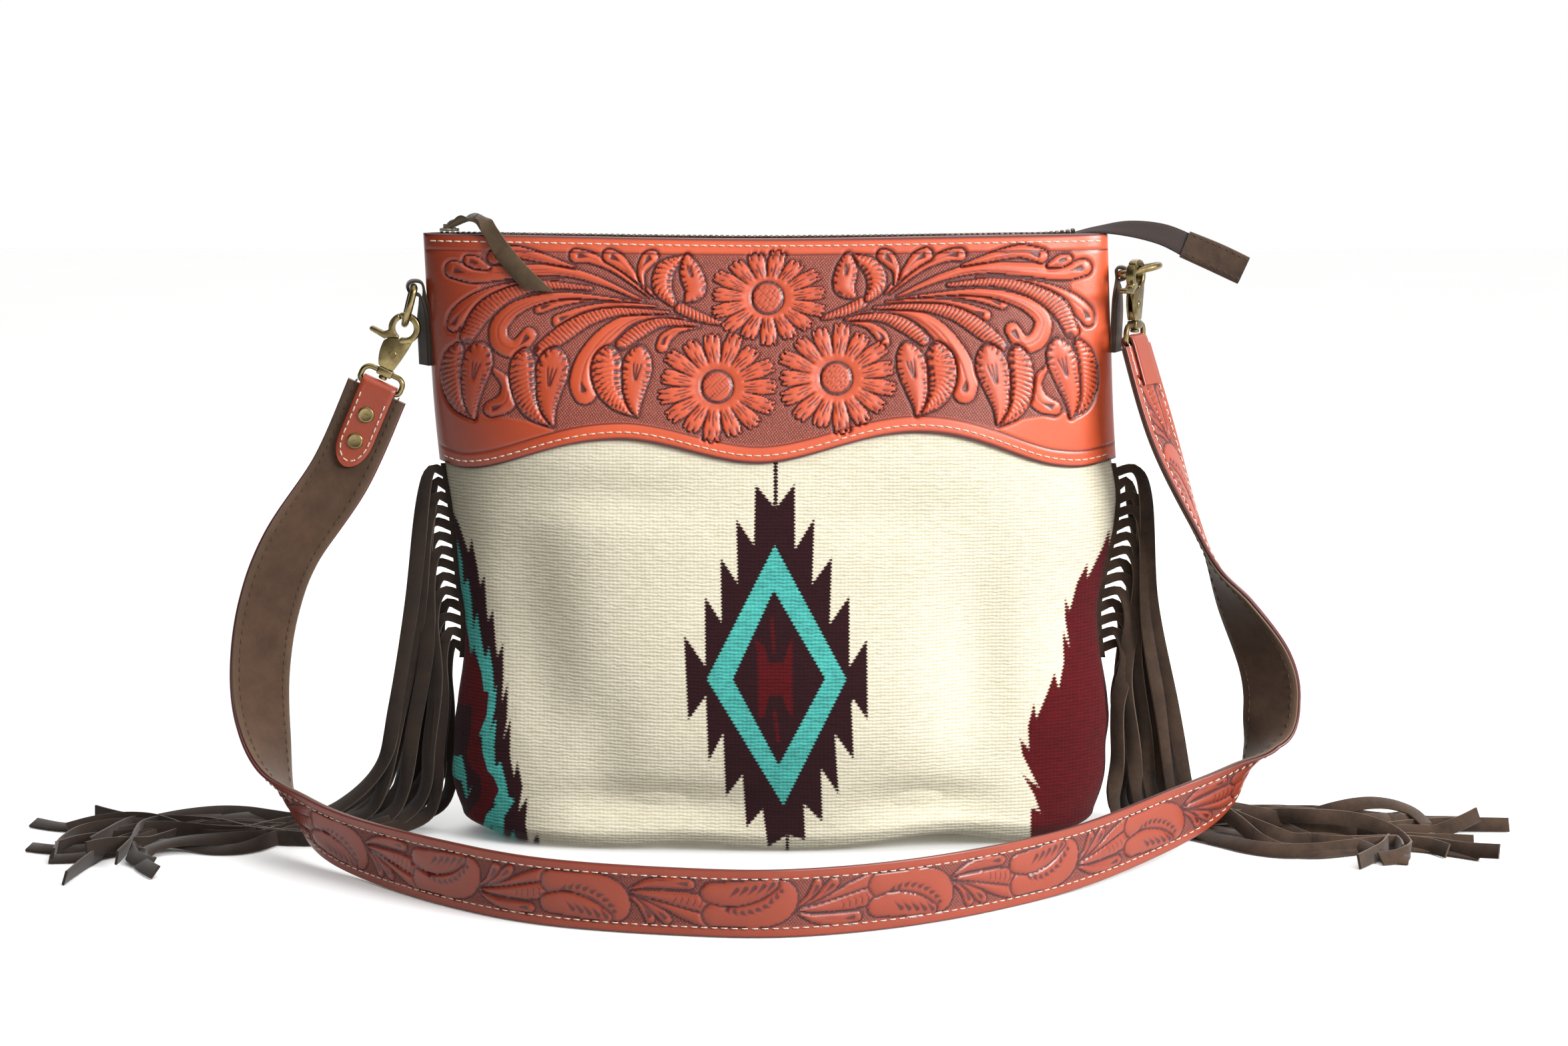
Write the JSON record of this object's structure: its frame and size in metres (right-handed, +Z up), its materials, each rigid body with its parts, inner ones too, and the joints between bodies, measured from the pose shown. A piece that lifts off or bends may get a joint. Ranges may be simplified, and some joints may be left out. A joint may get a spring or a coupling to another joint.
{
  "type": "tooled leather purse",
  "caption": "Shoulder bag with a tooled leather yoke over a woven wool body, zip top, suede side fringe and a tooled strap on trigger snap hooks.",
  "frame": {"origin": "middle of the bag's base, on the floor", "axes": "+X to the right seen from the front, +Y to the back, +Z up"},
  "size_m": [0.8165, 0.2555, 0.3643],
  "materials": {
    "wool": "woven, matt",
    "tooled_leather": "satin, tooled and stained",
    "suede": "napped, matt",
    "zip_tape": "woven, matt",
    "zip_metal": "antique",
    "antique_brass": "antique"
  },
  "bodies": {
    "bag": {"blanket_body": "wool", "yoke_front": "tooled_leather", "yoke_back": "tooled_leather", "zip_tape": "zip_tape", "zip_chain": "zip_metal", "zip_slider": "zip_metal", "zip_pull": "suede", "zip_tail_tab": "suede", "left_ring_tab": "suede", "right_ring_tab": "suede", "left_ring": "antique_brass", "right_ring": "antique_brass", "left_hook": "antique_brass", "right_hook": "antique_brass", "left_swivel_loop": "antique_brass", "right_swivel_loop": "antique_brass", "strap_leather": "tooled_leather", "strap_suede": "suede", "left_strap_tab": "tooled_leather", "right_strap_tab": "tooled_leather", "left_rivet_upper": "antique_brass", "left_rivet_lower": "antique_brass", "right_rivet_upper": "antique_brass", "right_rivet_lower": "antique_brass", "left_fringe": "suede", "right_fringe": "suede"},
    "left_trigger": {"left_trigger": "antique_brass"},
    "right_trigger": {"right_trigger": "antique_brass"}
  },
  "joints": [
    {"name": "left_trigger_pull", "type": "hinge", "parent": "bag", "child": "left_trigger", "pos_m": [-0.21503, -0.00099, 0.2834], "axis": [0, -1, 0], "range_deg": [0, 30], "stiffness_Nm_per_rad": 0.08},
    {"name": "right_trigger_pull", "type": "hinge", "parent": "bag", "child": "right_trigger", "pos_m": [0.21014, -0.01177, 0.31288], "axis": [0.866, -0.5, 0], "range_deg": [0, 30], "stiffness_Nm_per_rad": 0.08}
  ]
}
